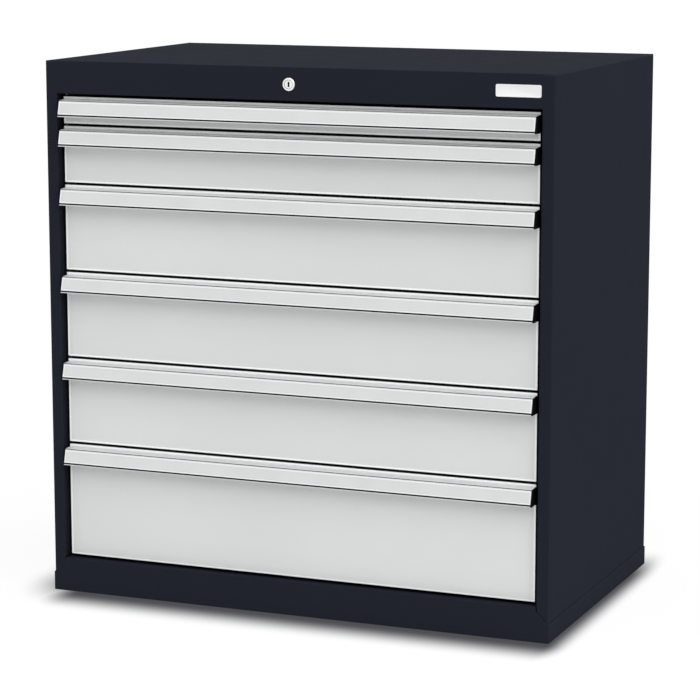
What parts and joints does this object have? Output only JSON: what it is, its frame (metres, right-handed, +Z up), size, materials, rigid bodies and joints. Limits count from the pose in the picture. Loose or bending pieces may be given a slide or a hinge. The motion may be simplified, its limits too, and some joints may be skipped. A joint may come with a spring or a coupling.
{
  "type": "drawer cabinet",
  "caption": "Free-standing sheet-steel drawer cabinet with graded telescopic drawers, full-width aluminium handle strips and one central lock in the top rail.",
  "frame": {"origin": "on the floor, below the middle of the bounding box", "axes": "+Z up, +Y from the drawer fronts to the back, +X to the right of someone facing the drawers"},
  "size_m": [0.905, 0.5755, 0.92],
  "materials": {
    "housing_paint": "anthracite powder coat, fine texture, satin",
    "front_paint": "light grey powder coat, smooth satin",
    "box_paint": "light grey powder coat, smooth satin",
    "handle_aluminium": "clear anodised extrusion, fine lengthwise lines",
    "cap_plastic": "black moulded plastic",
    "label_card": "blank label under a clear cover",
    "zinc_steel": "bright zinc plate",
    "lock_nickel": "satin nickel plate"
  },
  "bodies": {
    "cabinet": {"left_side_panel": "housing_paint", "right_side_panel": "housing_paint", "top_panel": "housing_paint", "back_panel": "housing_paint", "base_plinth": "housing_paint", "floor_panel": "housing_paint", "left_uprights": "zinc_steel", "right_uprights": "zinc_steel", "left_cabinet_rails": "zinc_steel", "right_cabinet_rails": "zinc_steel", "lock_housing": "lock_nickel", "lock_nut": "zinc_steel", "shaft_bracket": "zinc_steel", "locking_bar_guides": "zinc_steel"},
    "lock": {"lock_plug": "lock_nickel", "drive_shaft": "zinc_steel"},
    "locking_bar": {"locking_bar": "zinc_steel", "locking_hooks": "zinc_steel"},
    "drawer_1": {"drawer_1_front": "front_paint", "drawer_1_box": "box_paint", "drawer_1_handle": "handle_aluminium", "drawer_1_end_caps": "cap_plastic", "drawer_1_label_strip": "label_card", "drawer_1_drawer_rails": "zinc_steel"},
    "slide_1": {"slide_1_carriages": "zinc_steel"},
    "drawer_2": {"drawer_2_front": "front_paint", "drawer_2_box": "box_paint", "drawer_2_handle": "handle_aluminium", "drawer_2_end_caps": "cap_plastic", "drawer_2_label_strip": "label_card", "drawer_2_drawer_rails": "zinc_steel"},
    "slide_2": {"slide_2_carriages": "zinc_steel"},
    "drawer_3": {"drawer_3_front": "front_paint", "drawer_3_box": "box_paint", "drawer_3_handle": "handle_aluminium", "drawer_3_end_caps": "cap_plastic", "drawer_3_label_strip": "label_card", "drawer_3_drawer_rails": "zinc_steel"},
    "slide_3": {"slide_3_carriages": "zinc_steel"},
    "drawer_4": {"drawer_4_front": "front_paint", "drawer_4_box": "box_paint", "drawer_4_handle": "handle_aluminium", "drawer_4_end_caps": "cap_plastic", "drawer_4_label_strip": "label_card", "drawer_4_drawer_rails": "zinc_steel"},
    "slide_4": {"slide_4_carriages": "zinc_steel"},
    "drawer_5": {"drawer_5_front": "front_paint", "drawer_5_box": "box_paint", "drawer_5_handle": "handle_aluminium", "drawer_5_end_caps": "cap_plastic", "drawer_5_label_strip": "label_card", "drawer_5_drawer_rails": "zinc_steel"},
    "slide_5": {"slide_5_carriages": "zinc_steel"},
    "drawer_6": {"drawer_6_front": "front_paint", "drawer_6_box": "box_paint", "drawer_6_handle": "handle_aluminium", "drawer_6_end_caps": "cap_plastic", "drawer_6_label_strip": "label_card", "drawer_6_drawer_rails": "zinc_steel"},
    "slide_6": {"slide_6_carriages": "zinc_steel"}
  },
  "joints": [
    {"name": "drawer_1_slide", "type": "slide", "parent": "cabinet", "child": "drawer_1", "axis": [0, -1, 0], "range_m": [0, 0.478]},
    {"name": "carriages_1_slide", "type": "slide", "parent": "cabinet", "child": "slide_1", "axis": [0, -1, 0], "range_m": [0, 0.239]},
    {"name": "drawer_2_slide", "type": "slide", "parent": "cabinet", "child": "drawer_2", "axis": [0, -1, 0], "range_m": [0, 0.478]},
    {"name": "carriages_2_slide", "type": "slide", "parent": "cabinet", "child": "slide_2", "axis": [0, -1, 0], "range_m": [0, 0.239]},
    {"name": "drawer_3_slide", "type": "slide", "parent": "cabinet", "child": "drawer_3", "axis": [0, -1, 0], "range_m": [0, 0.478]},
    {"name": "carriages_3_slide", "type": "slide", "parent": "cabinet", "child": "slide_3", "axis": [0, -1, 0], "range_m": [0, 0.239]},
    {"name": "drawer_4_slide", "type": "slide", "parent": "cabinet", "child": "drawer_4", "axis": [0, -1, 0], "range_m": [0, 0.478]},
    {"name": "carriages_4_slide", "type": "slide", "parent": "cabinet", "child": "slide_4", "axis": [0, -1, 0], "range_m": [0, 0.239]},
    {"name": "drawer_5_slide", "type": "slide", "parent": "cabinet", "child": "drawer_5", "axis": [0, -1, 0], "range_m": [0, 0.478]},
    {"name": "carriages_5_slide", "type": "slide", "parent": "cabinet", "child": "slide_5", "axis": [0, -1, 0], "range_m": [0, 0.239]},
    {"name": "drawer_6_slide", "type": "slide", "parent": "cabinet", "child": "drawer_6", "axis": [0, -1, 0], "range_m": [0, 0.478]},
    {"name": "carriages_6_slide", "type": "slide", "parent": "cabinet", "child": "slide_6", "axis": [0, -1, 0], "range_m": [0, 0.239]},
    {"name": "lock_turn", "type": "hinge", "parent": "cabinet", "child": "lock", "pos_m": [-0.0026, -0.27375, 0.892], "axis": [0, 1, 0], "range_deg": [0, 90]},
    {"name": "locking_bar_drop", "type": "slide", "parent": "cabinet", "child": "locking_bar", "axis": [0, 0, -1], "range_m": [0, 0.00806]}
  ],
  "couplings": [
    {"joint": "carriages_1_slide", "follows": "drawer_1_slide", "ratio": 0.5},
    {"joint": "carriages_2_slide", "follows": "drawer_2_slide", "ratio": 0.5},
    {"joint": "carriages_3_slide", "follows": "drawer_3_slide", "ratio": 0.5},
    {"joint": "carriages_4_slide", "follows": "drawer_4_slide", "ratio": 0.5},
    {"joint": "carriages_5_slide", "follows": "drawer_5_slide", "ratio": 0.5},
    {"joint": "carriages_6_slide", "follows": "drawer_6_slide", "ratio": 0.5},
    {"joint": "lock_turn", "follows": "locking_bar_drop", "rad_per_m": 194.86}
  ]
}
